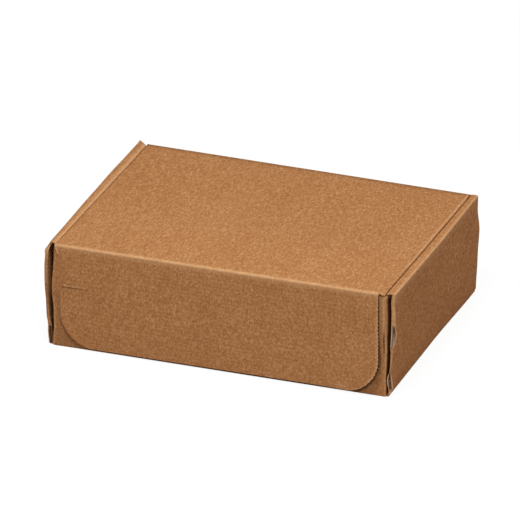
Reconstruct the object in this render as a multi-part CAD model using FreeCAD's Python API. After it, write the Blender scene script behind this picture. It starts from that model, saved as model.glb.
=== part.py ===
import FreeCAD, Part
import math
import os

Vector = FreeCAD.Vector

# A closed roll-end mailer folded from one sheet of corrugated board. Millimetres, +Z up.
# The front flap faces -Y, and the origin is on the floor below the middle of the closed box.
# The sheet is in three pieces, parted along the two creases that work as hinges.

# Outside size of the closed box
width = 236.0
depth = 170.0
height = 71.0

# The board and its folds
board = 1.6
fold_inner = 0.3
crease_gap = 0.3

# Air between the layers of board
layer_gap = 0.2
lid_gap = 0.3
flap_gap = 0.3

# Ends of the rolled side walls, in from the front wall and the back wall
roll_front_inset = 0.8
roll_back_inset = 0.3
inner_panel_inset = 0.6

# Tabs of the side walls' inner panels, in slots through the bottom
tab_length = 22.0
tab_spacing = 90.0
tab_taper = 2.0
slot_gap = 0.3

# Dust flaps, folded back between the two layers of each side wall
dust_length = 58.0
dust_corner = 14.0

# Ears of the lid, folded down inside the side walls
ear_depth = 30.0
ear_front_inset = 7.0
ear_back_inset = 8.0
ear_corner = 12.0

# Outline of the front flap
flap_floor_gap = 0.6
flap_left_inset = 7.4
flap_right_inset = 10.2
flap_corner = 23.0
flap_step_drop = 29.5
flap_step = 1.2

# Planes that several pieces share
fold_outer = fold_inner + board
half_width = width / 2
back_face = depth / 2
flap_face = -depth / 2
front_face = flap_face + board + flap_gap
front_inside = front_face + board
back_inside = back_face - board

# Layers of a side wall, from the outside in
dust_outside = half_width - board - layer_gap
dust_inside = dust_outside - board
inner_panel_outside = dust_inside - layer_gap
side_inside = inner_panel_outside - board
lid_half = side_inside - lid_gap

# Levels
fold_low = fold_outer
fold_high = height - fold_outer
wall_top = fold_high - layer_gap
roll_front = front_face + roll_front_inset
roll_back = back_face - roll_back_inset

# Side edges of the front flap
flap_left = -half_width + flap_left_inset
flap_right = half_width - flap_right_inset

# Directions
left = Vector(-1, 0, 0)
right = Vector(1, 0, 0)
forward = Vector(0, -1, 0)
backward = Vector(0, 1, 0)
up = Vector(0, 0, 1)
down = Vector(0, 0, -1)


def block(low_x, high_x, low_y, high_y, low_z, high_z):
    """Flat panel of board between two corners."""
    corner = Vector(low_x, low_y, low_z)
    return Part.makeBox(high_x - low_x, high_y - low_y, high_z - low_z, corner)


def fold(centre, along, first, second):
    """Round fold of the board about centre, from the first direction to the second, run out along a vector."""
    middle = (first + second).normalize()
    outside = Part.Arc(centre + first * fold_outer, centre + middle * fold_outer, centre + second * fold_outer)
    inside = Part.Arc(centre + second * fold_inner, centre + middle * fold_inner, centre + first * fold_inner)
    second_end = Part.makeLine(centre + second * fold_outer, centre + second * fold_inner)
    first_end = Part.makeLine(centre + first * fold_inner, centre + first * fold_outer)
    outline = Part.Wire([outside.toShape(), second_end, inside.toShape(), first_end])
    return Part.Face(outline).extrude(along)


def plate(points, thickness):
    """Flat plate with straight edges through the points, run out by the thickness vector."""
    outline = Part.makePolygon(points + [points[0]])
    return Part.Face(outline).extrude(thickness)


def rounded_corners(shape, radius, direction, low_z):
    """Round the edges that run in a direction and lie at the lowest level of a panel."""
    edges = []
    for edge in shape.Edges:
        start = edge.Vertexes[0].Point
        end = edge.Vertexes[-1].Point
        runs_across = abs(abs((end - start).normalize().dot(direction)) - 1) < 1e-6
        if runs_across and abs(start.z - low_z) < 1e-6:
            edges.append(edge)
    return shape.makeFillet(radius, edges)


def both_sides(right_piece):
    """A piece of the right side with its mirror image on the left."""
    return right_piece.fuse(right_piece.mirror(Vector(0, 0, 0), right))


def one_solid(pieces):
    """One clean solid from pieces that meet face to face."""
    return pieces[0].fuse(pieces[1:]).removeSplitter()


def beyond_crease(corner, outward, waste):
    """Waste to trim from a fold, up to half the crease gap from its diagonal, on the waste side."""
    reach = fold_outer * 2
    edge = corner - waste * (crease_gap / 2)
    run = right * (width + 2)
    start = edge - right * (half_width + 1)
    points = [
        start + outward * reach,
        start - outward * reach,
        start - outward * reach + waste * reach,
        start + outward * reach + waste * reach,
    ]
    return plate(points, run)


def bottom_panel():
    """Bottom of the tray, with the slots that hold the side walls' tabs."""
    half = half_width - fold_outer
    panel = block(-half, half, front_face + fold_outer, back_face - fold_outer, 0, board)
    for side in (-1, 1):
        for end in (-1, 1):
            panel = panel.cut(tab_slot(side, end))
    return panel


def tab_slot(side, end):
    """Slot for one tab, with clearance all round."""
    middle_x = side * (side_inside + inner_panel_outside) / 2
    middle_y = end * tab_spacing / 2
    half_x = board / 2 + slot_gap
    half_y = tab_length / 2 + slot_gap
    return block(middle_x - half_x, middle_x + half_x, middle_y - half_y, middle_y + half_y, -board, board * 2)


def end_wall(face, inward):
    """Front or back wall with its fold from the bottom; face is its outside and inward points to the middle."""
    half = dust_outside - fold_outer
    inner = face + inward.y * board
    wall = block(-half, half, min(face, inner), max(face, inner), fold_low, wall_top)
    centre = Vector(-half, face + inward.y * fold_outer, fold_low)
    return wall.fuse(fold(centre, right * (2 * half), -inward, down))


def dust_flap(face, inward):
    """Right dust flap of the front or back wall, with its upright fold."""
    centre = Vector(dust_outside - fold_outer, face + inward.y * fold_outer, fold_low)
    corner_fold = fold(centre, up * (wall_top - fold_low), -inward, right)
    start = face + inward.y * fold_outer
    end = face + inward.y * dust_length
    points = [
        Vector(dust_inside, start, fold_low),
        Vector(dust_inside, end - inward.y * dust_corner, fold_low),
        Vector(dust_inside, end, fold_low + dust_corner),
        Vector(dust_inside, end, wall_top - dust_corner),
        Vector(dust_inside, end - inward.y * dust_corner, wall_top),
        Vector(dust_inside, start, wall_top),
    ]
    return corner_fold.fuse(plate(points, right * board))


def rolled_side():
    """Right side wall: outer panel up from the bottom, narrow strip on top, inner panel down to the bottom."""
    length = roll_back - roll_front
    low_fold_start = Vector(half_width - fold_outer, front_face + fold_outer, fold_low)
    low_fold_length = back_face - front_face - 2 * fold_outer
    low_fold = fold(low_fold_start, backward * low_fold_length, right, down)
    outer = block(half_width - board, half_width, roll_front, roll_back, fold_low, fold_high)
    outer_fold = fold(Vector(half_width - fold_outer, roll_front, fold_high), backward * length, right, up)
    strip_low = side_inside + fold_outer
    strip_high = half_width - fold_outer
    strip = block(strip_low, strip_high, roll_front, roll_back, height - board, height)
    inner_fold = fold(Vector(strip_low, roll_front, fold_high), backward * length, left, up)
    inner_front = front_inside + inner_panel_inset
    inner_back = back_inside - inner_panel_inset
    inner_low = board + layer_gap
    inner = block(side_inside, inner_panel_outside, inner_front, inner_back, inner_low, fold_high)
    pieces = [low_fold, outer, outer_fold, strip, inner_fold, inner]
    for end in (-1, 1):
        pieces.append(tab(end * tab_spacing / 2))
    return pieces[0].fuse(pieces[1:])


def tab(middle_y):
    """Tapered tab at the foot of a right inner panel."""
    half = tab_length / 2
    tip = half - tab_taper
    top = board + layer_gap
    points = [
        Vector(side_inside, middle_y - half, top),
        Vector(side_inside, middle_y - tip, layer_gap),
        Vector(side_inside, middle_y + tip, layer_gap),
        Vector(side_inside, middle_y + half, top),
    ]
    return plate(points, right * board)


def back_crease():
    """Upper edge of the back wall, with its half of the crease that the lid turns on."""
    edge = block(-lid_half, lid_half, back_inside, back_face, wall_top, fold_high)
    start = Vector(-lid_half, back_face - fold_outer, fold_high)
    crease = fold(start, right * (2 * lid_half), backward, up)
    outward = (backward + up).normalize()
    waste = (forward + up).normalize()
    return edge.fuse(crease.cut(beyond_crease(Vector(0, back_face, height), outward, waste)))


def tray():
    """Bottom, four walls and dust flaps, folded up from one sheet."""
    pieces = [
        bottom_panel(),
        end_wall(front_face, backward),
        end_wall(back_face, forward),
        back_crease(),
        both_sides(dust_flap(front_face, backward)),
        both_sides(dust_flap(back_face, forward)),
        both_sides(rolled_side()),
    ]
    return one_solid(pieces)


def lid_ear():
    """Right ear of the lid with its fold, rounded at its lower corners."""
    front_end = front_inside + ear_front_inset
    back_end = back_inside - ear_back_inset
    centre = Vector(lid_half - fold_outer, front_end, fold_high)
    side_fold = fold(centre, backward * (back_end - front_end), right, up)
    low_z = height - ear_depth
    panel = block(lid_half - board, lid_half, front_end, back_end, low_z, fold_high)
    return side_fold.fuse(rounded_corners(panel, ear_corner, right, low_z))


def lid():
    """Top panel with half of each crease and two ears inside the side walls."""
    crease_back = back_face - fold_outer
    top = block(-lid_half, lid_half, front_face, crease_back, height - board, height)
    for side in (-1, 1):
        top = top.cut(ear_relief(side))
    back_fold = fold(Vector(-lid_half, crease_back, fold_high), right * (2 * lid_half), backward, up)
    back_corner = Vector(0, back_face, height)
    back_waste = beyond_crease(back_corner, (backward + up).normalize(), (backward + down).normalize())
    crease_front = flap_face + fold_outer
    front_fold = fold(Vector(flap_left, crease_front, fold_high), right * (flap_right - flap_left), forward, up)
    front_corner = Vector(0, flap_face, height)
    front_waste = beyond_crease(front_corner, (forward + up).normalize(), (forward + down).normalize())
    pieces = [top, back_fold.cut(back_waste), front_fold.cut(front_waste), both_sides(lid_ear())]
    return one_solid(pieces)


def ear_relief(side):
    """Strip of the lid's edge that turns down into an ear instead."""
    front_end = front_inside + ear_front_inset
    back_end = back_inside - ear_back_inset
    low_x = lid_half - fold_outer
    strip = block(low_x, lid_half, front_end, back_end, height - board, height)
    if side > 0:
        return strip
    return strip.mirror(Vector(0, 0, 0), right)


def front_flap():
    """Outer flap over the front wall, with rounded lower corners and a small step in its left edge."""
    low_z = flap_floor_gap
    step_z = height - flap_step_drop
    lower_left = flap_left + flap_step
    left_centre = Vector(lower_left + flap_corner, flap_face, low_z + flap_corner)
    right_centre = Vector(flap_right - flap_corner, flap_face, low_z + flap_corner)
    slant = flap_corner * math.sqrt(0.5)
    left_arc = Part.Arc(
        left_centre + left * flap_corner,
        left_centre + left * slant + down * slant,
        left_centre + down * flap_corner)
    right_arc = Part.Arc(
        right_centre + down * flap_corner,
        right_centre + right * slant + down * slant,
        right_centre + right * flap_corner)
    top_right = Vector(flap_right, flap_face, fold_high)
    top_left = Vector(flap_left, flap_face, fold_high)
    step_outer = Vector(flap_left, flap_face, step_z)
    step_inner = Vector(lower_left, flap_face, step_z - flap_step)
    edges = [
        Part.makeLine(left_centre + down * flap_corner, right_centre + down * flap_corner),
        right_arc.toShape(),
        Part.makeLine(right_centre + right * flap_corner, top_right),
        Part.makeLine(top_right, top_left),
        Part.makeLine(top_left, step_outer),
        Part.makeLine(step_outer, step_inner),
        Part.makeLine(step_inner, left_centre + left * flap_corner),
        left_arc.toShape(),
    ]
    outline = Part.Wire(Part.__sortEdges__(edges))
    panel = Part.Face(outline).extrude(backward * board)
    crease_start = Vector(flap_left, flap_face + fold_outer, fold_high)
    crease = fold(crease_start, right * (flap_right - flap_left), forward, up)
    waste = beyond_crease(
        Vector(0, flap_face, height), (forward + up).normalize(), (backward + up).normalize())
    return one_solid([panel, crease.cut(waste)])


def save(name, shape):
    """Write one piece and report that it is a single valid solid."""
    print(name, "solids", len(shape.Solids), "valid", shape.isValid(), "volume", round(shape.Volume, 1))
    shape.exportStep(os.path.join("parts", name + ".step"))


os.makedirs("parts", exist_ok=True)
save("tray", tray())
save("lid", lid())
save("front_flap", front_flap())
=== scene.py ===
import math

import bmesh
import bpy
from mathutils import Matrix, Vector, noise


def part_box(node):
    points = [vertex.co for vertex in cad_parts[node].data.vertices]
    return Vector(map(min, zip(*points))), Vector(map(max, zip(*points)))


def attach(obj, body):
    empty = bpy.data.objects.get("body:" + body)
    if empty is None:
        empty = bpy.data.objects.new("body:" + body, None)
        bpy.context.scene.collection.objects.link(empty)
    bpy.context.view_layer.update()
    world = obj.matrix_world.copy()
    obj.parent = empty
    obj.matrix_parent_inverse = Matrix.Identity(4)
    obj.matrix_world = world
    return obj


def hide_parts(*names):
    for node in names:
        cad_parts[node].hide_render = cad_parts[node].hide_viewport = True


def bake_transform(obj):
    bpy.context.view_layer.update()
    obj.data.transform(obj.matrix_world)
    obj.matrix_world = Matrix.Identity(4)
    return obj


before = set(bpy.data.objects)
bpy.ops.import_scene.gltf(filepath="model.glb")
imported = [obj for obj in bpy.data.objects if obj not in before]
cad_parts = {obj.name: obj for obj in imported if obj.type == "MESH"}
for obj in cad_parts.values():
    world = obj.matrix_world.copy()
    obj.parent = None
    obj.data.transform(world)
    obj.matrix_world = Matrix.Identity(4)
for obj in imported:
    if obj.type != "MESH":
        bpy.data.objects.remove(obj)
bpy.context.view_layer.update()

# Sizes, in metres, read from the frame or written once here
mm = 0.001
tray_low, tray_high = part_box("tray")
lid_low, lid_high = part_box("lid")
flap_low, flap_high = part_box("front_flap")

board = 1.6 * mm
fold_inner = 0.3 * mm
fold_outer = fold_inner + board
layer_gap = 0.2 * mm
lid_gap = 0.3 * mm

half_width = tray_high.x
height = tray_high.z
front_face = tray_low.y
back_face = tray_high.y
lid_half = lid_high.x
flap_face = flap_low.y
box_centre = Vector((0, 0, height / 2))

fold_length = math.pi / 2 * (fold_outer - board / 2)
fold_high = height - fold_outer
wall_top = fold_high - layer_gap
bottom_front = front_face + fold_outer
bottom_back = back_face - fold_outer
roll_front = front_face + 0.8 * mm
roll_back = back_face - 0.3 * mm
inner_front = front_face + board + 0.6 * mm
inner_back = back_face - board - 0.6 * mm
side_inside = lid_half + lid_gap
strip_run = half_width - side_inside - 2 * fold_outer

tab_length = 22 * mm
tab_spacing = 90 * mm
slot_gap = 0.3 * mm
dust_length = 58 * mm
dust_corner = 14 * mm
ear_depth = height - lid_low.z
ear_front = front_face + board + 7 * mm
ear_back = back_face - board - 8 * mm
ear_corner = 12 * mm
ear_slit = 0.3 * mm
flap_corner = 23 * mm
flap_right_corner = 21 * mm
flap_step = 1.2 * mm
flap_bottom = flap_low.z + 1.8 * mm

liner = 0.3 * mm
groove_depth = 0.8 * mm
flute_pitch = 2.6 * mm
flute_wave = 0.45 * mm
flute_paper = 0.18 * mm
flute_scallop = 0.14 * mm
ribbon_front = 0.12 * mm
ribbon_back = groove_depth + 0.3 * mm

uv_per_metre = 10
sharp_angle = math.radians(38)

# The camera, fitted to the photograph: it looks from the front right and above, through a long lens
camera_azimuth = math.radians(20.1345)
camera_elevation = math.radians(24.6763)
camera_distance = 4.5711
camera_aside = (-2.46 * mm, 6.33 * mm)
focal_pixels = 7000
image_pixels = 520
sensor = 36

world_colour = (1.08, 0.985, 0.95, 1)
world_strength = 0.47
key_colour = (0.915, 1.0, 0.995)
key_power = 3.0
key_place = Vector((0.05, -0.30, 0.72))
key_size = 0.2


def stations(start, *spans):
    """Places of a grid's lines: from start through spans of (end, number of cells)."""
    places = [start]
    for end, cells in spans:
        begin = places[-1]
        places += [begin + (end - begin) * (i + 1) / cells for i in range(cells)]
    return places


def merged(*lists):
    """Places of several lists in one, without near doubles."""
    places = []
    for place in sorted(place for single in lists for place in single):
        if not places or place - places[-1] > 0.02 * mm:
            places.append(place)
    return places


def both_sides(places):
    """Places that start at 0, with their mirror images."""
    return [-place for place in reversed(places[1:])] + places


def ease(value, *knots):
    """Smooth line through knots of (place, height), level beyond the first and the last."""
    for (low, below), (high, above) in zip(knots, knots[1:]):
        if value < high:
            share = max(0, (value - low) / (high - low))
            share = share * share * (3 - 2 * share)
            return below + (above - below) * share
    return knots[-1][1]


def bump(value, middle, half):
    """Round hump, 1 at the middle and 0 from half its width away."""
    share = min(1, abs(value - middle) / half)
    return (1 - share * share) ** 2


def bent(turn, t):
    """Place (sideways, forwards) on a fold's round, tighter than a circle on the outside of the board."""
    reach = fold_outer - t
    power = 0.85 - 0.3 * (1 - t / board)
    return reach * math.cos(turn) ** power, reach * math.sin(turn) ** power


def along(runs, s, t):
    """Place (outwards, inwards) on a sheet that turns a quarter inwards after each run but the last.

    s runs along the sheet's outside and t into the board.
    """
    start = Vector((0, 0))
    heading = Vector((1, 0))
    for run in runs[:-1]:
        inward = Vector((-heading.y, heading.x))
        if s <= run:
            return start + heading * s + inward * t
        s -= run
        start += heading * run
        if s <= fold_length:
            sideways, forwards = bent(min(1, s / fold_length) * math.pi / 2, t)
            return start + inward * (fold_outer - sideways) + heading * forwards
        s -= fold_length
        start += (heading + inward) * fold_outer
        heading = inward
    inward = Vector((-heading.y, heading.x))
    return start + heading * s + inward * t


# The sheet: cut flat, thickened to two liners with a recessed middle, then folded

def blank(us, vs, keep):
    """Flat sheet with lines at us and vs, less the cells that the die cuts away."""
    sheet = bmesh.new()
    columns = len(us) - 1
    rows = len(vs) - 1
    bmesh.ops.create_grid(sheet, x_segments=columns, y_segments=rows, size=0.5)
    for vert in sheet.verts:
        column = round((vert.co.x + 0.5) * columns)
        row = round((vert.co.y + 0.5) * rows)
        vert.co = (us[column], vs[row], 0)
    spare = [face for face in sheet.faces if not keep(*face.calc_center_median().xy)]
    bmesh.ops.delete(sheet, geom=spare, context="FACES")
    return sheet


def trim(sheet, centre, radius, quarter, inside):
    """Round a corner of the sheet: cuts that touch a circle, over the quarter turn from an angle."""
    cuts = 14
    for i in range(cuts + 1):
        turn = quarter + i / cuts * math.pi / 2
        out = Vector((math.cos(turn), math.sin(turn), 0))
        faces = [face for face in sheet.faces if inside(*face.calc_center_median().xy)]
        edges = {edge for face in faces for edge in face.edges}
        verts = {vert for face in faces for vert in face.verts}
        bmesh.ops.bisect_plane(
            sheet, geom=[*verts, *edges, *faces], dist=1e-7,
            plane_co=Vector((*centre, 0)) + out * radius, plane_no=out, clear_outer=True)


def inward_miter(vert):
    """Direction into the sheet at a point of its outline, long enough to keep an even margin."""
    inwards = []
    for edge in vert.link_edges:
        if edge.is_boundary:
            start, end = (point.co for point in edge.verts)
            across = Vector((start.y - end.y, end.x - start.x, 0)).normalized()
            middle = edge.link_faces[0].calc_center_median()
            inwards.append(across if (middle - start).dot(across) > 0 else -across)
    first, second = inwards[0], inwards[-1]
    return (first + second) / max(0.6, 1 + first.dot(second))


def spot(place):
    """Key of a place on the flat sheet, the same through its thickness."""
    return round(place.x, 7), round(place.y, 7)


def thicken(sheet, open_share=lambda u, v: 1):
    """Give the sheet its thickness, and sink the middle of its cut edges between the two liners.

    open_share says how open a cut edge is: 1 for a clean cut, near 0 where the liners are crushed together.
    """
    sunk = {
        spot(vert.co): inward_miter(vert) * groove_depth * open_share(*vert.co.xy)
        for vert in sheet.verts if vert.is_boundary}
    bmesh.ops.solidify(sheet, geom=sheet.faces[:], thickness=board)
    for vert in sheet.verts:
        vert.co.z += board
    upright = [edge for edge in sheet.edges if abs(edge.verts[0].co.z - edge.verts[1].co.z) > board / 2]
    cuts = 4
    bmesh.ops.subdivide_edges(sheet, edges=upright, cuts=cuts, use_grid_fill=True)
    groove = set()
    for vert in sheet.verts:
        level = round(vert.co.z / board * (cuts + 1))
        if 0 < level <= cuts:
            groove.add(vert)
            vert.co.z = liner if level <= cuts // 2 else board - liner
            if 1 < level < cuts:
                vert.co += sunk[spot(vert.co)]
    for face in sheet.faces:
        middle = face.calc_center_median()
        inner = all(vert in groove for vert in face.verts) and open_share(middle.x, middle.y) > 0.3
        face.material_index = 1 if inner else 0


def flute_ribbon(sheet, edge, low, high, inward):
    """Wavy paper between the liners, along a cut across the flutes; edge gives the cut's place for each v."""
    rows_per_flute = 8
    rows = round((high - low) / flute_pitch * rows_per_flute)
    ribbon = bmesh.new()
    bmesh.ops.create_grid(ribbon, x_segments=1, y_segments=rows, size=0.5)
    for vert in ribbon.verts:
        v = low + (high - low) * (vert.co.y + 0.5)
        depth = ribbon_front if vert.co.x < 0 else ribbon_back
        wave = flute_wave * math.sin(v / flute_pitch * 2 * math.pi)
        vert.co = (edge(v) + inward * depth, v, board / 2 + wave)
    bmesh.ops.solidify(ribbon, geom=ribbon.faces[:], thickness=flute_paper)
    bmesh.ops.recalc_face_normals(ribbon, faces=ribbon.faces[:])
    for face in ribbon.faces:
        face.material_index = 1
    mesh = bpy.data.meshes.new("flute_ribbon")
    ribbon.to_mesh(mesh)
    ribbon.free()
    sheet.from_mesh(mesh)
    bpy.data.meshes.remove(mesh)


def folded(name, sheet, place, body, node, wear_and_painted_light):
    """Fold the flat sheet with place(u, v, t), let it settle, and make it a piece.

    The piece rides on a body and replaces a node, where they are given. wear_and_painted_light(u, v, t)
    becomes an attribute: pale scuffed and torn paper and painted highlights above 0, and painted shade below
    0.
    """
    cut = sheet.loops.layers.uv.new("blank")
    wear_and_light = sheet.verts.layers.float.new("wear_and_painted_light")
    for face in sheet.faces:
        for loop in face.loops:
            loop[cut].uv = loop.vert.co.xy * uv_per_metre
    for vert in sheet.verts:
        u, v, t = vert.co
        vert[wear_and_light] = wear_and_painted_light(u, v, t)
        vert.co = settled(place(u, v, t))
    bmesh.ops.recalc_face_normals(sheet, faces=sheet.faces[:])
    mesh = bpy.data.meshes.new(name)
    sheet.to_mesh(mesh)
    sheet.free()
    mesh.materials.append(kraft)
    mesh.materials.append(fluting)
    mesh.shade_smooth()
    mesh.set_sharp_from_angle(angle=sharp_angle)
    piece = bpy.data.objects.new(name, mesh)
    bpy.context.scene.collection.objects.link(piece)
    if body:
        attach(piece, body)
    if node:
        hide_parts(node)
    return piece


# How the box has settled out of square, as the photograph shows it

def right_outside(y, z):
    """How far the right wall stands out past its plane."""
    foot = ease(y, (front_face, -2.3 * mm), (0, -1.9 * mm), (back_face, 0.1 * mm))
    belly = ease(y, (front_face, 1.0 * mm), (0, 0.4 * mm), (back_face, 1.4 * mm))
    brow = ease(y, (front_face, 1.0 * mm), (0, 0.9 * mm), (back_face, -0.2 * mm))
    top = ease(y, (front_face, 0.9 * mm), (0, 1.1 * mm), (back_face, -0.1 * mm))
    return ease(
        z, (0, foot), (26 * mm, foot / 3 + belly / 2), (46 * mm, belly), (62 * mm, brow), (height, top))


def left_outside(y, z):
    """How far the left wall stands out past its plane."""
    front = ease(
        z, (0, 0.6 * mm), (10 * mm, 1.9 * mm), (25 * mm, 3.1 * mm), (40 * mm, 2.8 * mm),
        (54 * mm, 2.6 * mm), (64 * mm, 2.0 * mm), (height, -0.9 * mm))
    back = ease(z, (0, 0.3 * mm), (35 * mm, 1.6 * mm), (height, 2.8 * mm))
    share = ease(y, (front_face, 1), (10 * mm, 0.35), (back_face, 0))
    return front * share + back * (1 - share) + 0.6 * mm * bump(y, 32 * mm, 32 * mm) * z / height


def seam_shift(side, y):
    """How far the seam between the lid and a side strip stands out past its plane."""
    if side > 0:
        return ease(y, (front_face, 0), (-12 * mm, 0.4 * mm), (back_face, 0.3 * mm))
    return ease(
        y, (front_face, -0.5 * mm), (-60 * mm, -0.4 * mm), (-20 * mm, -0.1 * mm), (40 * mm, 0.3 * mm),
        (back_face, 0.8 * mm))


# Shift of each corner in millimetres, by its place: 1 at the right, at the back and at the top, else 0
corner_shifts = {
    (1, 0, 1): (0.5, 0, 1.75), (0, 0, 1): (-0.6, 0, 1.45),
    (0, 1, 1): (-0.04, 0.8, 1.99), (1, 1, 1): (1.1, -0.4, 0.55),
    (1, 0, 0): (0, -1.2, 0), (0, 0, 0): (0.3, -1.8, 0),
    (0, 1, 0): (0.3, 0.3, 0.9), (1, 1, 0): (-0.3, 0.6, 1.8),
}


def settled(place):
    """Where a point of the true box lies on the real one."""
    x, y, z = place
    side = 1 if x > 0 else -1
    seam = seam_shift(side, y)
    reach = abs(x)
    if reach < side_inside:
        shift = seam * reach / side_inside
    else:
        outside = right_outside(y, z) if side > 0 else left_outside(y, z)
        share = min(1, (reach - side_inside) / (half_width - side_inside))
        shift = seam + (outside - seam) * share
    skew = Vector((side * shift, 0, 0))
    across = (x + half_width) / (2 * half_width)
    back = (y - front_face) / (back_face - front_face)
    up = z / height
    for (right, rear, top), corner in corner_shifts.items():
        share = (across if right else 1 - across) * (back if rear else 1 - back) * (up if top else 1 - up)
        skew += share * Vector(corner) * mm
    return place + skew


# Tray

dust_line = half_width - 2 * board - 1.5 * layer_gap
bottom_end = half_width - fold_outer
outer_start = bottom_end + fold_length
strip_start = outer_start + (fold_high - fold_outer) + fold_length
inner_start = strip_start + strip_run + fold_length
inner_foot = inner_start + fold_high - board - layer_gap
wall_corner = half_width - board - layer_gap - fold_outer
dust_start = wall_corner + fold_length
dust_end = dust_start + dust_length - fold_outer
wall_edge = fold_length + wall_top - fold_outer
wall_crest = wall_edge + fold_high - wall_top
front_slit = (roll_front + bottom_front - fold_length) / 2
back_slit = (roll_back + bottom_back + fold_length) / 2


def upper_lens(z):
    """Torn place halfway up the right wall's front edge."""
    return min(1, 1.8 * bump(z, 40.5 * mm, 9 * mm))


def side_lens(side, z):
    """Where the liners of a side wall's front edge have come apart."""
    if side > 0:
        return upper_lens(z) + min(1, 1.5 * bump(z, 11 * mm, 8 * mm))
    return bump(z, 7.5 * mm, 8 * mm)


def panel_edge(side, z, t):
    """How far a side wall's crushed front edge has moved out, for the outer (t = 0) to the inner liner."""
    if side > 0:
        inner = ease(
            z, (1.5 * mm, 1.5 * mm), (5.3 * mm, 1.0 * mm), (8.6 * mm, -0.9 * mm), (12 * mm, -1.6 * mm),
            (14 * mm, -1.3 * mm), (17.5 * mm, 0), (30 * mm, 0.1 * mm), (35 * mm, -0.5 * mm),
            (57 * mm, -0.5 * mm), (65 * mm, -0.8 * mm))
        splay = ease(z, (18 * mm, 0.9 * mm), (30 * mm, 1.3 * mm), (52 * mm, 2.4 * mm), (66 * mm, 1.9 * mm))
        splay += 1.3 * mm * upper_lens(z) + 3.8 * mm * bump(z, 10 * mm, 9 * mm)
    else:
        inner = ease(
            z, (0, -1.4 * mm), (12 * mm, -1.3 * mm), (20 * mm, -0.4 * mm), (45 * mm, 0.3 * mm),
            (62 * mm, 0.1 * mm), (height, -0.3 * mm))
        splay = ease(
            z, (0, 2.5 * mm), (9 * mm, 1.8 * mm), (16 * mm, 1.4 * mm), (25 * mm, 0.9 * mm),
            (40 * mm, 1.2 * mm), (56 * mm, 1.4 * mm))
        splay += 0.4 * mm * bump(z, 8 * mm, 8.5 * mm) + 0.6 * mm * bump(z, 66 * mm, 4 * mm)
    outer = inner + splay - board
    return inner * t / board + outer * (1 - t / board)


def corner_pinch(side, z):
    """How far the front wall's end folds are drawn in."""
    if side > 0:
        return ease(
            z, (0, 1.2 * mm), (6 * mm, 1.6 * mm), (12 * mm, 2.4 * mm), (32 * mm, 2.2 * mm),
            (39 * mm, 2.6 * mm), (52 * mm, 2.5 * mm), (67 * mm, 3.0 * mm))
    return ease(
        z, (0, 0.9 * mm), (14 * mm, 1.9 * mm), (25 * mm, 2.0 * mm), (37 * mm, 1.4 * mm), (64 * mm, 2.5 * mm))


def wall_reach(u, v):
    """How far a place lies up the front wall (below 0) or the back wall (above 0); 0 for the rest."""
    in_line = abs(u) < wall_corner + 0.5 * mm
    if v < front_slit or in_line and v < bottom_front:
        return v - bottom_front
    if v > back_slit or in_line and v > bottom_back:
        return v - bottom_back
    return 0


def tray_keep(u, v):
    """Cells of the tray's blank that stay after the die."""
    reach = abs(u)
    up = wall_reach(u, v)
    if up:
        if abs(up) < fold_length:
            return reach < wall_corner
        if up > wall_edge:
            return reach < lid_half
        return -wall_edge < up and reach < dust_end
    if reach < outer_start:
        slot = (abs(reach - (side_inside + board / 2)) < board / 2 + slot_gap
                and abs(abs(v) - tab_spacing / 2) < tab_length / 2 + slot_gap)
        return bottom_front < v < bottom_back and not slot
    if reach < inner_start:
        return roll_front < v < roll_back
    if reach < inner_foot:
        return inner_front < v < inner_back
    return abs(abs(v) - tab_spacing / 2) < tab_length / 2


def wall_place(u, up, t):
    """Front and back wall with their dust flaps, folded up from the bottom."""
    side = 1 if u > 0 else -1
    if abs(up) < fold_length:
        out, z = along((0, height), abs(up), t)
        inward = fold_outer - out
        stretch = ease(abs(u), (wall_corner - 3 * mm, 0), (wall_corner, 1))
        stretch *= ease(z, (0.8 * mm, 1), (fold_outer, 0))
        x = abs(u) + 0.6 * mm * stretch
    else:
        x, inward = along((wall_corner, height * 2), abs(u), t)
        z = fold_outer + abs(up) - fold_length
    if up > 0:
        return Vector((side * x, back_face - inward, z))
    near = bump(inward, 0, 9 * mm) * ease(x, (wall_corner - 6 * mm, 0), (wall_corner, 1))
    x -= corner_pinch(side, z) * near
    foot = ease(abs(u), (wall_corner, 0), (wall_corner + 0.2 * mm, 1))
    foot *= ease(inward, (2.2 * mm, 1), (6 * mm, 0)) * max(0, 1 - (z - fold_outer) / (8 * mm))
    z -= 1.45 * mm * foot
    if side > 0:
        swell = 0.3 * mm * bump(x, 110.6 * mm, 1.3 * mm) * ease(z, (14 * mm, 0), (30 * mm, 1))
    else:
        swell = 0.9 * mm * ease(x, (106 * mm, 0), (111 * mm, 1)) * ease(inward, (0, 1), (3 * mm, 0))
        swell *= ease(z, (34 * mm, 0.1), (44 * mm, 1))
    return Vector((side * x, front_face + inward - swell, z))


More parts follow.
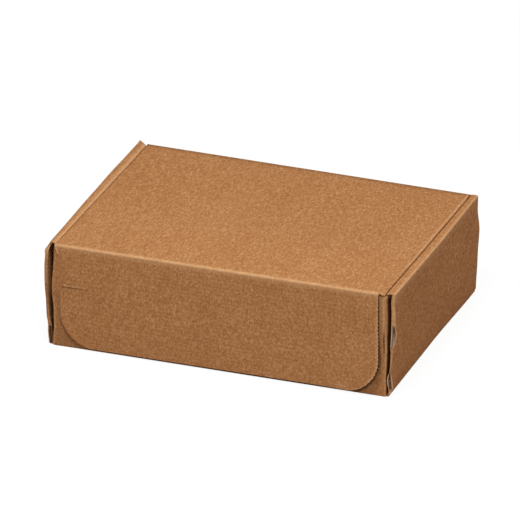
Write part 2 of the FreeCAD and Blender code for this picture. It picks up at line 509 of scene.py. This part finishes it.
def roll_place(u, v, t):
    """Bottom and rolled side walls, folded up."""
    side = 1 if u > 0 else -1
    x, z = along((bottom_end, fold_high - fold_outer, strip_run, height), abs(u), t)
    if x > dust_line and z > fold_outer * 0.6:
        near = max(0, 1 - (v - roll_front) / (4.5 * mm))
        x += near * near * ease(z, (fold_high - 3 * mm, 1), (height, 0.2)) * panel_edge(side, z, t)
    if z > fold_high - 0.5 * mm:
        near = max(0, 1 - (v - roll_front) / (3 * mm))
        z += near * t / board * 1.0 * mm
    if side_inside - board < x < dust_line and z < fold_high:
        near = bump(v, front_face, 9 * mm) * ease(z, (fold_high - 3 * mm, 1), (fold_high, 0))
        x -= corner_pinch(side, z) * near
    y = v
    if side < 0:
        rear = max(0, 1 - (roll_back - v) / (6 * mm)) * ease(z, (fold_high - 6 * mm, 0), (fold_high, 1))
        slant = ease(x, (side_inside, -2.0 * mm), (half_width - 0.6 * mm, 2.5 * mm))
        y += rear * rear * slant
        z += 0.5 * mm * rear ** 4 * ease(x, (half_width - 1.6 * mm, 0), (half_width - 0.4 * mm, 1))
        front = max(0, 1 - (v - roll_front) / (8 * mm)) * ease(x, (side_inside + 2 * mm, 0), (half_width, 1))
        z -= 1.0 * mm * front * front * ease(z, (fold_high - 6 * mm, 0), (fold_high, 1))
    return Vector((side * x, y, z))


def tray_place(u, v, t):
    """The whole tray, folded up from its blank."""
    up = wall_reach(u, v)
    return wall_place(u, up, t) if up else roll_place(u, v, t)


def past_flap_shadow(u, z):
    """How far a place on the front wall lies outside the painted shadow line under a round lower corner of
    the flap.

    The painted shadow lines lie a little to the left of the flap's own corners, and lower.
    """
    if u > 0:
        radius = flap_right_corner
        beside = u + 1.1 * mm - (flap_high.x + 0.6 * mm - radius)
        below = flap_bottom + radius - (z + 1.4 * mm)
    else:
        radius = flap_corner
        beside = flap_low.x + flap_step + radius - (u + 0.6 * mm)
        below = flap_bottom + radius - (z + 0.7 * mm)
    return math.hypot(max(0, beside), max(0, below)) - radius


def tray_edge_open(u, v):
    """Cut edges are open, but crushed along the front of the side walls between the torn places."""
    panel = wall_corner < abs(u) < inner_start and front_slit < v < roll_front + 1.5 * mm
    if not panel:
        return 1
    z = abs(u) - outer_start + fold_outer
    return 0.15 + 0.85 * min(1, 1.6 * side_lens(1 if u > 0 else -1, z))


def wall_wear_and_light(u, up, t):
    """Lines and painted highlights on the front wall, less a darkening at its lower left and painted shade
    under the flap's edges and on the dust flaps.
    """
    if t > board / 2 or up > 0:
        return 0
    z = -up
    # Painted shade on the end folds' far side and on the dust flaps, deep in the gap at the wall's ends
    deep = ease(
        abs(u), (dust_start - fold_length * 0.3, 0), (dust_start + 0.3 * mm, 1), (dust_start + 20 * mm, 0))
    # A pale and a dark line along the right end fold, halfway up
    lines_and_highlights = 0.45 * bump(u, 114.9 * mm, 0.7 * mm) - 1.1 * bump(u, 114.3 * mm, 0.5 * mm)
    lines_and_highlights *= bump(z, 37 * mm, 13 * mm)
    # Painted light on the wall beside the flap's right edge
    lines_and_highlights += 0.5 * bump(u, 109 * mm, 2.5 * mm) * ease(z, (28 * mm, 0), (40 * mm, 1))
    # Painted highlight on a ridge beside the right end fold
    lines_and_highlights += 0.7 * bump(u, 113.9 * mm, 0.9 * mm) * ease(z, (40 * mm, 0), (47 * mm, 1))
    # Painted highlight along the wall's top edge at the right corner
    lines_and_highlights += 0.8 * bump(z, wall_edge, 0.7 * mm) * ease(u, (112.5 * mm, 0), (113.8 * mm, 1))
    # Darker at the lower left of the wall
    painted_darkening = ease(u, (-96 * mm, 0.26), (-80 * mm, 0)) * ease(z, (34 * mm, 1), (42 * mm, 0))
    # Painted shadow just outside the flap's round lower corners, strongest at the right
    corner = bump(past_flap_shadow(u, z), 0.7 * mm, 1.8 * mm) * ease(z, (10 * mm, 1), (20 * mm, 0))
    painted_darkening += (0.85 if u > 0 else 0.12) * corner
    # Painted shade along the bottom fold, under the flap's bottom edge
    painted_darkening += 0.4 * ease(z, (fold_length, 1), (3.5 * mm, 0)) * ease(abs(u), (84 * mm, 1), (92 * mm, 0))
    # Painted highlight on the end folds, stronger low down
    highlit_crest = bump(abs(u), dust_start - fold_length * 0.55, 0.9 * mm)
    highlit_crest *= ease(z, (26 * mm, 0.6), (42 * mm, 0.15))
    return highlit_crest + lines_and_highlights - painted_darkening - deep


def roll_wear_and_light(u, v, t):
    """Marks of the rolled side walls: painted highlights on their top folds, pale front edges that turn
    darker halfway up on the left, torn and crumpled liners along the front edge, and painted shade on the
    left wall's inner liner.
    """
    right = u > 0
    outside = t < board / 2
    inner_liner = t > board - liner * 1.1
    outer_panel = outer_start < abs(u) < strip_start
    z = abs(u) - outer_start + fold_outer
    edge = max(0, 1 - (v - roll_front) / (0.8 * mm))
    # Painted highlight along the right wall's outer top fold and the left strip's inner fold
    highlit_crest = strip_start - fold_length * 0.45 if right else inner_start - fold_length * 0.7
    fold = 0.75 * bump(abs(u), highlit_crest, 0.9 * mm) if outside else 0
    # Painted highlight just below and over the right wall's top fold
    if right and outside:
        fold += 0.25 * ease(
            u, (strip_start - fold_length - 6 * mm, 0), (strip_start - fold_length * 0.9, 1),
            (strip_start, 0))
    if right and edge < 0.3 and liner * 0.9 < t < board - liner * 0.9 and v < roll_front + 2 * mm:
        fold += 0.8 * bump(z, 37 * mm, 9 * mm)
    if not outer_panel:
        return edge * (0.6 if right else 0.1) + fold
    torn = side_lens(1 if right else -1, z)
    if right:
        marked = 0.6
        crumple = 0
        torn *= 0.2 + 0.9 * t / board
        if inner_liner:
            fold += 0.8 * edge * bump(z, 8 * mm, 8 * mm)
    else:
        # The left front edge turns darker halfway up
        marked = 0.1 - 0.45 * bump(z, 34 * mm, 16 * mm)
        crumple = 1.2 * bump(z, 66 * mm, 5 * mm)
        # Torn liners on the left; at the inner liner this turns to painted shade
        torn *= ease(t, (0, 0.4), (liner, 1), (board - liner, 0.8), (board, -0.45))
        # Painted shade on the left wall's inner liner near the front, low down
        if inner_liner and v < roll_front + 15 * mm:
            fold -= 0.9 * ease(z, (11 * mm, 1), (17 * mm, 0))
    return edge * (marked * (1 - 0.4 * abs(torn)) + torn + crumple) + fold


def tray_wear_and_light(u, v, t):
    """Pale edges, torn liners and painted highlights (above 0), and painted shade between layers and under
    the flap, with a darkening at the front wall's lower left (below 0).
    """
    up = wall_reach(u, v)
    return wall_wear_and_light(u, up, t) if up else roll_wear_and_light(u, v, t)


def tray():
    """Bottom, end walls with dust flaps, and side walls rolled over their top edges, as one sheet."""
    us = both_sides(merged(
        stations(0, (side_inside - slot_gap, 30), (wall_corner, 5), (dust_start, 7)),
        stations(side_inside + board + slot_gap, (bottom_end, 1), (outer_start, 6)),
        stations(outer_start, (strip_start - fold_length, 30), (strip_start, 7)),
        stations(dust_end - dust_corner, (dust_end, 1)),
        stations(strip_start, (strip_start + strip_run, 1), (inner_start, 7), (inner_start + 10 * mm, 3)),
        stations(inner_start + 10 * mm, (inner_foot, 9), (inner_foot + board - layer_gap, 1))))
    slot_low = tab_spacing / 2 - tab_length / 2
    slot_high = tab_spacing / 2 + tab_length / 2
    vs = merged(
        stations(bottom_front - wall_edge, (bottom_front - fold_length, 26), (bottom_front, 6)),
        stations(roll_front, (inner_front, 2), (inner_front + 7 * mm, 8), (-slot_high - slot_gap, 3)),
        stations(-slot_high - slot_gap, (-slot_high, 1), (-slot_low, 5), (-slot_low + slot_gap, 1)),
        stations(-slot_low + slot_gap, (slot_low - slot_gap, 14), (slot_low, 1), (slot_high, 5)),
        stations(slot_high, (slot_high + slot_gap, 1), (inner_back - 5 * mm, 4), (inner_back, 4)),
        stations(bottom_back, (bottom_back + fold_length, 6), (bottom_back + wall_edge, 20)),
        [roll_back, bottom_back + wall_crest])
    sheet = blank(us, vs, tray_keep)
    # Finer cells low on the front wall's ends, for the painted shadow under the flap's round corners
    marked = set()
    for face in sheet.faces:
        u, v, _ = face.calc_center_median()
        if 78 * mm < abs(u) < side_inside - slot_gap and 0 < bottom_front - fold_length - v < 26 * mm:
            marked.update(face.edges)
    bmesh.ops.subdivide_edges(sheet, edges=list(marked), cuts=4, use_grid_fill=True)
    for side in (-1, 1):
        for end, start in ((-1, bottom_front), (1, bottom_back)):

            def in_dust_flap(u, v):
                in_wall = (v - start) * end > fold_length and (v < front_slit or v > back_slit)
                return in_wall and u * side > dust_start

            for outward, level in ((1, wall_edge - dust_corner), (-1, fold_length + dust_corner)):
                heading = math.atan2(end * outward, side)
                centre = (side * (dust_end - dust_corner), start + end * level)
                trim(sheet, centre, dust_corner, heading - math.pi / 4, in_dust_flap)
    thicken(sheet, tray_edge_open)
    return folded("tray_sheet", sheet, tray_place, "tray", "tray", tray_wear_and_light)


# Lid and front flap

lid_flat = lid_half - fold_outer
ear_start = lid_flat + fold_length
ear_end = ear_start + ear_depth - fold_outer
flap_line = height - 28.1 * mm
flap_nicks = (-89.8 * mm, -71.3 * mm, 36.3 * mm, 54.7 * mm, 77 * mm, 86.9 * mm)

# Shares of the flap's width, from its left to its right edge, closer together near its edges
flap_columns = stations(0, (0.02, 10), (0.06, 5), (0.2, 8), (0.8, 36), (0.94, 8), (0.98, 3), (1, 2))


def front_edge_bright(u):
    """Brightness of the front crease along its length, partly pale crushed liner and partly painted
    highlight.
    """
    grain = noise.noise(Vector((u * 260, 3.1, 0))) * 0.25 + noise.noise(Vector((u * 900, 7.7, 0))) * 0.2
    return 0.8 + grain


def lid_place(u, v, t):
    """Top panel flat, ears folded down, front corners pressed down over the front wall."""
    side = 1 if u > 0 else -1
    reach = abs(u)
    narrower = 0.25 * mm * ease(u, (100 * mm, 0), (lid_flat, 1))
    if reach > lid_flat and ear_front - 0.01 * mm < v < ear_back + 0.01 * mm:
        out, down = along((lid_flat, height), reach, t)
        return Vector((side * (out - narrower), v, height - down))
    past = max(0, reach - lid_flat) / fold_length
    out = min(reach, lid_flat) + past * fold_outer - narrower
    near = max(0, 1 - (v - front_face) / (3 * mm))
    if u > 0:
        rounding = 0.7 * mm
        beyond_flap = ease(u, (flap_high.x, 0), (flap_high.x + 0.3 * mm, 1))
    else:
        rounding = ease(v, (-60 * mm, 0.15 * mm), (60 * mm, 0.7 * mm))
        beyond_flap = ease(u, (flap_low.x - 1.5 * mm, 1), (flap_low.x, 0))
    press = near * near * beyond_flap
    tooth = bump(u, 110.9 * mm, 1.4 * mm) * near
    down = t + (1 - t / board) * (rounding * past ** 3 + 0.9 * mm * press) + 0.4 * mm * tooth
    return Vector((side * out, v - 0.5 * mm * press - 0.4 * mm * tooth, height - down))


def lid_panel():
    """Top panel and its two ears."""
    us = merged(
        stations(-ear_end, (-ear_start - 2 * mm, 7), (-ear_start, 1), (-lid_flat, 7)),
        stations(flap_low.x, (flap_low.x + 10 * mm, 4), (flap_high.x - 10 * mm, 50), (flap_high.x, 5)),
        stations(flap_high.x, (flap_high.x + 0.3 * mm, 2), (lid_flat, 8)),
        stations(lid_flat, (ear_start, 7), (ear_start + 2 * mm, 1), (ear_end, 7)))
    vs = stations(
        front_face, (front_face + 3 * mm, 5), (ear_front - ear_slit, 4), (ear_front, 1), (ear_back, 34),
        (ear_back + ear_slit, 1), (bottom_back - 4 * mm, 2), (bottom_back, 4))

    def keep(u, v):
        if abs(u) < lid_flat or ear_front < v < ear_back:
            return True
        slit = ear_front - ear_slit < v < ear_back + ear_slit
        return abs(u) < ear_start and not slit

    sheet = blank(us, vs, keep)
    for side, at_back, quarter in ((1, True, 0), (-1, True, 0.5), (-1, False, 1), (1, False, 1.5)):
        end = ear_back - ear_corner if at_back else ear_front + ear_corner
        trim(
            sheet, (side * (ear_end - ear_corner), end), ear_corner, quarter * math.pi,
            lambda u, v: u * side > ear_start)
    thicken(sheet)
    for side in (-1, 1):
        flute_ribbon(
            sheet, lambda v: side * ear_end, ear_front + ear_corner, ear_back - ear_corner, -side)

    def wear_and_painted_light(u, v, t):
        if t > liner / 2:
            # Painted shade on the lid's cut edge at its front right corner, beyond the flap
            return -0.9 if u > flap_high.x + 1 * mm and v < front_face + 1 * mm else 0
        # Painted highlight along the lid's side folds, stronger towards the back
        seam = 0.2 + 0.5 * ease(v, (-70 * mm, 0), (0, 1))
        # Pale front edge by the front crease, partly the paper's own and partly painted highlight
        front = 0.35 * bump(v, front_face, 1.3 * mm) * ease(u, (flap_high.x, 1), (flap_high.x + 1 * mm, 0))
        # Painted shade along the back edge, going on into the rear crease
        rear = 0.3 * ease(v, (bottom_back - 4 * mm, 0), (bottom_back - 1 * mm, 1))
        return seam * bump(u, lid_flat + fold_length * 0.35, 1.0 * mm) + front - rear

    return folded("lid_panel", sheet, lid_place, "lid", "lid", wear_and_painted_light)


def line_level(u):
    """Level of the pressed line across the flap's left part, which curls up at the flap's edge."""
    past = max(0, 1 - (u - flap_low.x) / (3.4 * mm))
    return flap_line + 1.8 * mm * past ** 2


def flap_left_edge(v):
    """Left edge of the front flap for a level v: slanted at the top, stepped, then round."""
    edge = flap_low.x - ease(v, (height - 6 * mm, 0), (height, 1.7 * mm))
    edge += ease(v, (flap_line, flap_step), (flap_line + 2 * mm, -0.5 * mm))
    return edge + round_in(v, flap_corner)


def flap_right_edge(v):
    """Right edge of the front flap for a level v."""
    spread = ease(
        v, (6 * mm, 0), (16 * mm, 0.9 * mm), (24 * mm, 1.5 * mm), (35 * mm, 1.2 * mm),
        (50 * mm, 0.7 * mm), (68 * mm, 0.3 * mm))
    return flap_high.x + spread - round_in(v, flap_right_corner)


def round_in(v, radius):
    """How far a round lower corner draws the edge in at a level v."""
    below = min(max(0, flap_bottom + radius - v), radius)
    return radius - math.sqrt(radius ** 2 - below ** 2)


def flap_place(u, v, t):
    """The flap hangs in front of the wall; its right edge stands off a little, most at the lower corner."""
    parted = ease(u, (flap_high.x - 3 * mm, 0), (flap_high.x + 0.2 * mm, 1))
    parted *= ease(v, (5 * mm, 0), (14 * mm, 1), (30 * mm, 1), (46 * mm, 0))
    u += 0.7 * mm * t / board * parted
    lift = ease(u, (60 * mm, 0), (flap_high.x, 1)) * ease(v, (0, 1.8 * mm), (44 * mm, 0))
    lift += 0.8 * mm * ease(u, (85 * mm, 0), (flap_high.x, 1)) * ease(v, (58 * mm, 1), (68 * mm, 0))
    crushed = ease(u, (flap_low.x, 1), (flap_low.x + 3.5 * mm, 0))
    crushed *= ease(v, (30 * mm, 0.2), (44 * mm, 1), (60 * mm, 1), (67 * mm, 0))
    sunk = ease(u, (flap_low.x, 1), (flap_low.x + 24 * mm, 0))
    sunk *= ease(v, (line_level(u) - 0.5 * mm, 1), (line_level(u), 0))
    y = flap_face + t - lift + 0.7 * mm * crushed * (1 - t / board) + 0.6 * mm * sunk
    return Vector((u, y, v))


def flap_panel():
    """Outer flap with round lower corners, cut across the flutes at its sides."""
    vs = stations(
        flap_bottom, (flap_bottom + 2 * mm, 8), (flap_bottom + flap_corner, 50), (flap_line - 0.5 * mm, 36),
        (flap_line + 2.2 * mm, 16), (fold_high, 64))
    sheet = blank(flap_columns, vs, lambda u, v: True)
    for vert in sheet.verts:
        share, v, _ = vert.co
        scallop = flute_scallop * math.sin(v / flute_pitch * 2 * math.pi) if v > flap_bottom + 2 * mm else 0
        start = flap_left_edge(v) - scallop * 0.6
        end = flap_right_edge(v) + scallop * 1.8
        vert.co.x = start + (end - start) * share
    thicken(sheet)
    flute_ribbon(sheet, flap_left_edge, flap_bottom + 1 * mm, fold_high, 1)
    flute_ribbon(sheet, flap_right_edge, flap_bottom + 1 * mm, fold_high, -1)

    def wear_and_painted_light(u, v, t):
        left = flap_left_edge(v)
        right = flap_right_edge(v)
        if t > liner / 2:
            # Painted shade on the right cut edge's groove and back liner
            return -0.6 * bump(u, right, 1.2 * mm) if v > flap_bottom + 1 * mm else 0
        line = line_level(u)
        # Pressed line: painted highlight on its upper lip, painted shade under it
        lip = 0.45 * bump(v, line + 0.6 * mm, 0.8 * mm) - 0.75 * bump(v, line - 0.25 * mm, 0.6 * mm)
        lip *= ease(u, (flap_low.x, 1), (flap_low.x + 9 * mm, 0.9), (flap_low.x + 24 * mm, 0))
        nick = sum(bump(u, place, 1.1 * mm) for place in flap_nicks) * bump(v, flap_bottom, 1.0 * mm)
        corner = 1.4 * bump(u, left, 1.5 * mm) * ease(v, (height - 7 * mm, 0), (height - 5 * mm, 1))
        rim = 0.7 * bump(u, right, 0.9 * mm) * ease(v, (55 * mm, 1), (66 * mm, 0.3))
        if v < flap_line:
            rim += 0.6 * bump(u, left, 0.6 * mm) * ease(v, (16 * mm, 0), (24 * mm, 1))
        # Painted highlight on the flap's top, under the front crease
        top = 0.3 * bump(v, fold_high, 2.4 * mm)
        marked = 0.5 * bump(u, 84 * mm, 6 * mm) * bump(v, flap_bottom + 2.8 * mm, 2.6 * mm)
        return lip + nick + corner + rim + top + marked

    return folded("flap_panel", sheet, flap_place, "front_flap", "front_flap", wear_and_painted_light)


def crease(name, at_back):
    """Fold that the lid turns on, or that the front flap turns on."""
    us = stations(-side_inside, (side_inside, 60)) if at_back else flap_columns
    vs = stations(0, (fold_length, 12))
    sheet = blank(us, vs, lambda u, v: True)
    if not at_back:
        for vert in sheet.verts:
            level = fold_high + vert.co.y
            start = flap_left_edge(level)
            vert.co.x = start + (flap_right_edge(level) - start) * vert.co.x
    bmesh.ops.solidify(sheet, geom=sheet.faces[:], thickness=board)
    for vert in sheet.verts:
        vert.co.z += board

    def place(u, v, t):
        sideways, forwards = bent(min(1, max(0, v / fold_length)) * math.pi / 2, t)
        out = fold_outer - sideways
        up = fold_high + forwards
        y = back_face - out if at_back else flap_face + out
        return Vector((u, y, up))

    def wear_and_painted_light(u, v, t):
        if t > board / 2:
            return 0
        if at_back:
            # Painted shade on the rear crease
            return -0.3
        # Front crease: partly pale crushed liner, partly painted highlight
        return 1.1 * front_edge_bright(u) * bump(v, fold_length * 0.45, 1.3 * mm)

    piece = folded(name, sheet, place, None, None, wear_and_painted_light)
    if at_back:
        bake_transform(piece)
        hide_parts("tray", "lid")
    else:
        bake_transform(piece)
        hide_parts("lid", "front_flap")
    return piece


# Materials

# Colour of the painted shade, mixed in where the attribute falls below 0
deep_shade = (0.03, 0.012, 0.006, 1)


def link_math(tree, operation, first, second, clamp=False):
    """Math node; first and second are sockets or numbers."""
    node = tree.nodes.new("ShaderNodeMath")
    node.operation = operation
    node.use_clamp = clamp
    for socket, value in zip(node.inputs, (first, second)):
        if hasattr(value, "is_output"):
            tree.links.new(value, socket)
        else:
            socket.default_value = value
    return node.outputs[0]


def weighted_sum(tree, *terms):
    """Sum of terms of (socket, weight)."""
    total = None
    for socket, weight in terms:
        term = link_math(tree, "MULTIPLY", socket, weight)
        total = term if total is None else link_math(tree, "ADD", total, term)
    return total


def mix_colour(tree, share, first, second):
    """Mix node between two colours; each input is a socket or a value."""
    node = tree.nodes.new("ShaderNodeMix")
    node.data_type = "RGBA"
    for name, value in (("Factor_Float", share), ("A_Color", first), ("B_Color", second)):
        socket = next(s for s in node.inputs if s.identifier == name)
        if hasattr(value, "is_output"):
            tree.links.new(value, socket)
        else:
            socket.default_value = value
    return next(s for s in node.outputs if s.identifier == "Result_Color")


def noise_at(tree, place, scale, detail, roughness=0.5, distortion=0.0):
    """Value of a noise at a place, from 0 to 1."""
    node = tree.nodes.new("ShaderNodeTexNoise")
    node.inputs["Scale"].default_value = scale
    node.inputs["Detail"].default_value = detail
    node.inputs["Roughness"].default_value = roughness
    node.inputs["Distortion"].default_value = distortion
    tree.links.new(place, node.inputs["Vector"])
    return node.outputs["Fac"]


def stretched(tree, place, turn, long, short):
    """Coordinates turned and stretched, for fibres that lie in one direction."""
    node = tree.nodes.new("ShaderNodeMapping")
    node.inputs["Rotation"].default_value = turn
    node.inputs["Scale"].default_value = (long, short, short)
    tree.links.new(place, node.inputs["Vector"])
    return node.outputs["Vector"]


def paper_group():
    """Mottle and fibres of brown paper, and the height that they give its surface."""
    group = bpy.data.node_groups.new("brown_paper", "ShaderNodeTree")
    inputs = (
        ("Place", "NodeSocketVector"), ("Flutes", "NodeSocketFloat"), ("Paper", "NodeSocketColor"),
        ("Pale", "NodeSocketColor"), ("Dark", "NodeSocketColor"), ("Wear and painted light", "NodeSocketFloat"))
    outputs = (("Color", "NodeSocketColor"), ("Height", "NodeSocketFloat"), ("Roughness", "NodeSocketFloat"))
    for in_out, sockets in (("INPUT", inputs), ("OUTPUT", outputs)):
        for name, kind in sockets:
            group.interface.new_socket(name, in_out=in_out, socket_type=kind)
    given = group.nodes.new("NodeGroupInput")
    result = group.nodes.new("NodeGroupOutput")
    drawn = group.nodes.new("ShaderNodeMapping")
    drawn.inputs["Scale"].default_value = (1.25, 0.5, 0.85)
    group.links.new(given.outputs["Place"], drawn.inputs["Vector"])
    place = drawn.outputs["Vector"]

    mottle = noise_at(group, place, 640, 2, 0.6, 0.5)
    grain = noise_at(group, place, 1250, 1)
    cloud = noise_at(group, place, 26, 2)
    fibres = None
    for turn in ((0.3, 0.2, 0.4), (0.5, 1.2, 1.7), (1.3, 0.4, 2.6)):
        strand = noise_at(group, stretched(group, place, turn, 260, 1700), 1.0, 2)
        strand = link_math(group, "SUBTRACT", strand, 0.62)
        strand = link_math(group, "MULTIPLY", strand, 7.0, clamp=True)
        fibres = strand if fibres is None else link_math(group, "MAXIMUM", fibres, strand)

    def centred(value):
        return link_math(group, "SUBTRACT", value, 0.5)

    tone = weighted_sum(group, (centred(mottle), 2.1), (centred(grain), 1.5), (centred(cloud), 0.35))
    darker = link_math(group, "MULTIPLY", tone, -1.0, clamp=True)
    lighter = link_math(group, "ADD", tone, link_math(group, "MULTIPLY", fibres, 0.12), clamp=True)
    colour = mix_colour(group, darker, given.outputs["Paper"], given.outputs["Dark"])
    colour = mix_colour(group, lighter, colour, given.outputs["Pale"])
    # Above 0 the attribute mixes in pale paper, for scuffed and torn paper and for painted highlights; below
    # 0 it mixes in painted shade
    uneven = link_math(group, "ADD", mottle, 0.45)
    wear_and_light = link_math(group, "MULTIPLY", given.outputs["Wear and painted light"], uneven, clamp=True)
    colour = mix_colour(group, wear_and_light, colour, given.outputs["Pale"])
    shade = link_math(group, "MULTIPLY", given.outputs["Wear and painted light"], -0.9, clamp=True)
    colour = mix_colour(group, shade, colour, deep_shade)

    ribs = group.nodes.new("ShaderNodeMath")
    ribs.operation = "SINE"
    group.links.new(given.outputs["Flutes"], ribs.inputs[0])
    relief = weighted_sum(group, (mottle, 0.5), (grain, 0.3), (fibres, 0.15), (ribs.outputs[0], 0.12))
    rough = link_math(group, "ADD", 0.85, link_math(group, "MULTIPLY", grain, 0.15))
    group.links.new(colour, result.inputs["Color"])
    group.links.new(relief, result.inputs["Height"])
    group.links.new(rough, result.inputs["Roughness"])
    return group


def paper_material(name, group, paper, pale, dark, bump_distance):
    """Uncoated paper, with the blank's own coordinates for the flutes under it."""
    material = bpy.data.materials.new(name)
    material.use_nodes = True
    tree = material.node_tree
    shader = tree.nodes["Principled BSDF"]
    shader.inputs["Specular IOR Level"].default_value = 0.08
    coordinates = tree.nodes.new("ShaderNodeTexCoord")
    cut = tree.nodes.new("ShaderNodeUVMap")
    cut.uv_map = "blank"
    split = tree.nodes.new("ShaderNodeSeparateXYZ")
    tree.links.new(cut.outputs["UV"], split.inputs[0])
    ribs = link_math(tree, "MULTIPLY", split.outputs["Y"], 2 * math.pi / (flute_pitch * uv_per_metre))
    wear_and_light = tree.nodes.new("ShaderNodeAttribute")
    wear_and_light.attribute_name = "wear_and_painted_light"
    use = tree.nodes.new("ShaderNodeGroup")
    use.node_tree = group
    use.inputs["Paper"].default_value = paper
    use.inputs["Pale"].default_value = pale
    use.inputs["Dark"].default_value = dark
    tree.links.new(coordinates.outputs["Object"], use.inputs["Place"])
    tree.links.new(ribs, use.inputs["Flutes"])
    tree.links.new(wear_and_light.outputs["Fac"], use.inputs["Wear and painted light"])
    raise_node = tree.nodes.new("ShaderNodeBump")
    raise_node.inputs["Strength"].default_value = 0.5
    raise_node.inputs["Distance"].default_value = bump_distance
    tree.links.new(use.outputs["Height"], raise_node.inputs["Height"])
    tree.links.new(use.outputs["Color"], shader.inputs["Base Color"])
    tree.links.new(use.outputs["Roughness"], shader.inputs["Roughness"])
    tree.links.new(raise_node.outputs["Normal"], shader.inputs["Normal"])
    return material


# Floor, world, lamp and camera

def show_apart(tree, output, lit, seen):
    """Show one shader to the camera, also in gloss and through glass, and another to all other light."""
    path = tree.nodes.new("ShaderNodeLightPath")
    sight = link_math(tree, "ADD", path.outputs["Is Camera Ray"], path.outputs["Is Glossy Ray"])
    sight = link_math(tree, "ADD", sight, path.outputs["Is Transmission Ray"], clamp=True)
    mix = tree.nodes.new("ShaderNodeMixShader")
    tree.links.new(sight, mix.inputs[0])
    tree.links.new(lit.outputs[0], mix.inputs[1])
    tree.links.new(seen.outputs[0], mix.inputs[2])
    tree.links.new(mix.outputs[0], output.inputs["Surface"])


def floor_material():
    """White to the camera, but keeping the shadow; a plain mid grey for the light that it sends back."""
    material = bpy.data.materials.new("floor_white")
    material.use_nodes = True
    tree = material.node_tree
    tree.nodes.clear()
    output = tree.nodes.new("ShaderNodeOutputMaterial")
    matt = tree.nodes.new("ShaderNodeBsdfDiffuse")
    matt.inputs["Color"].default_value = (0.55, 0.55, 0.55, 1)
    white = tree.nodes.new("ShaderNodeEmission")
    white.inputs["Strength"].default_value = 1.05
    bright = tree.nodes.new("ShaderNodeBsdfDiffuse")
    bright.inputs["Color"].default_value = (0.9, 0.9, 0.9, 1)
    seen = tree.nodes.new("ShaderNodeMixShader")
    seen.inputs[0].default_value = 0.9
    tree.links.new(bright.outputs[0], seen.inputs[1])
    tree.links.new(white.outputs[0], seen.inputs[2])
    show_apart(tree, output, matt, seen)
    return material


def make_floor():
    """Plain floor that reaches past every view."""
    sheet = bmesh.new()
    bmesh.ops.create_grid(sheet, x_segments=1, y_segments=1, size=6)
    mesh = bpy.data.meshes.new("floor")
    sheet.to_mesh(mesh)
    sheet.free()
    mesh.materials.append(floor_material())
    floor = bpy.data.objects.new("floor", mesh)
    bpy.context.scene.collection.objects.link(floor)


def make_world():
    """Even light all round; white where the camera sees it."""
    world = bpy.data.worlds.new("studio")
    bpy.context.scene.world = world
    world.use_nodes = True
    tree = world.node_tree
    tree.nodes.clear()
    output = tree.nodes.new("ShaderNodeOutputWorld")
    soft = tree.nodes.new("ShaderNodeBackground")
    soft.inputs["Color"].default_value = world_colour
    soft.inputs["Strength"].default_value = world_strength
    white = tree.nodes.new("ShaderNodeBackground")
    white.inputs["Color"].default_value = (1, 1, 1, 1)
    show_apart(tree, output, soft, white)


def make_lamp():
    """One soft round lamp, above and in front of the box."""
    lamp = bpy.data.lights.new("key", "AREA")
    lamp.shape = "DISK"
    lamp.size = key_size
    lamp.energy = key_power
    lamp.color = key_colour
    key = bpy.data.objects.new("key", lamp)
    bpy.context.scene.collection.objects.link(key)
    key.location = key_place
    key.rotation_mode = "QUATERNION"
    key.rotation_quaternion = (box_centre - key_place).to_track_quat("-Z", "Y")


def make_camera():
    """Camera at the photograph's angle, with the fitted lens."""
    a, e = camera_azimuth, camera_elevation
    back = Vector((math.sin(a) * math.cos(e), -math.cos(a) * math.cos(e), math.sin(e)))
    right = Vector((math.cos(a), math.sin(a), 0))
    up = back.cross(right)
    data = bpy.data.cameras.new("camera")
    data.sensor_width = sensor
    data.lens = focal_pixels / image_pixels * sensor
    data.clip_end = 50
    camera = bpy.data.objects.new("camera", data)
    bpy.context.scene.collection.objects.link(camera)
    camera.location = box_centre + back * camera_distance + right * camera_aside[0] + up * camera_aside[1]
    camera.rotation_mode = "QUATERNION"
    camera.rotation_quaternion = (-back).to_track_quat("-Z", "Y")
    bpy.context.scene.camera = camera


brown_paper = paper_group()
kraft = paper_material(
    "kraft_liner", brown_paper, bump_distance=0.35 * mm,
    paper=(0.474, 0.207, 0.076, 1), pale=(0.74, 0.42, 0.21, 1), dark=(0.27, 0.1, 0.033, 1))
# The fluting paper's dark colour is partly its own and partly painted shade of the hollows between its flutes
fluting = paper_material(
    "fluting_paper", brown_paper, bump_distance=0.3 * mm,
    paper=(0.13, 0.062, 0.032, 1), pale=(0.5, 0.37, 0.28, 1), dark=(0.06, 0.026, 0.013, 1))

tray()
lid_panel()
flap_panel()
crease("rear_crease", True)
crease("front_crease", False)

make_floor()
make_world()
make_lamp()
make_camera()
bpy.context.scene.view_settings.view_transform = "Standard"
